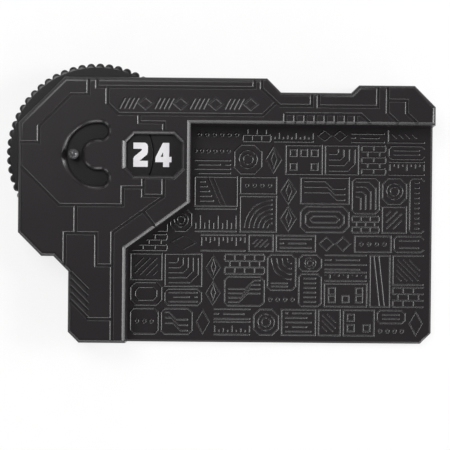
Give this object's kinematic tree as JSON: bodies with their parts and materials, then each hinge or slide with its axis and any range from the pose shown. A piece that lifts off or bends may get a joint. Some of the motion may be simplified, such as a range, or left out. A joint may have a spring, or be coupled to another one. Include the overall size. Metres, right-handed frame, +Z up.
{
  "type": "damage counter pad",
  "caption": "Flat black card tray with an L-shaped cover; a beaded thumb wheel and a slot knob turn a two-digit counter behind a beveled window.",
  "frame": {"origin": "centre of the bounding box, on the plane that the rubber feet stand on", "axes": "+X along the long side, away from the dial; +Y towards the top bar; +Z up, out of the face with the window"},
  "size_m": [0.13, 0.0848, 0.0143],
  "materials": {
    "shell": "satin moulded ABS, fine spark texture",
    "inner": "satin moulded ABS",
    "dial": "satin moulded acetal",
    "knob": "polished ball",
    "spring_steel": "blued strip",
    "screw": "zinc plated",
    "feet": "matt"
  },
  "bodies": {
    "housing": {"top_cover": "shell", "base_plate": "shell", "dial_deck": "inner", "units_click_spring": "spring_steel", "tens_click_washer": "spring_steel", "case_screw_1": "screw", "case_screw_2": "screw", "case_screw_3": "screw", "case_screw_4": "screw", "case_screw_5": "screw", "deck_screw_1": "screw", "deck_screw_2": "screw", "dial_screw": "screw", "foot_1": "feet", "foot_2": "feet", "foot_3": "feet", "foot_4": "feet"},
    "units": {"units_wheel": "dial"},
    "tens": {"tens_disc": "dial", "tens_knob": "knob"}
  },
  "joints": [
    {"name": "units_wheel_spin", "type": "hinge", "parent": "housing", "child": "units", "pos_m": [-0.0375, 0.01487, 0.0079], "axis": [0, 0, 1], "continuous": true},
    {"name": "tens_disc_turn", "type": "hinge", "parent": "housing", "child": "tens", "pos_m": [-0.0375, 0.01487, 0.009], "axis": [0, 0, 1], "range_deg": [-96, 96]}
  ]
}
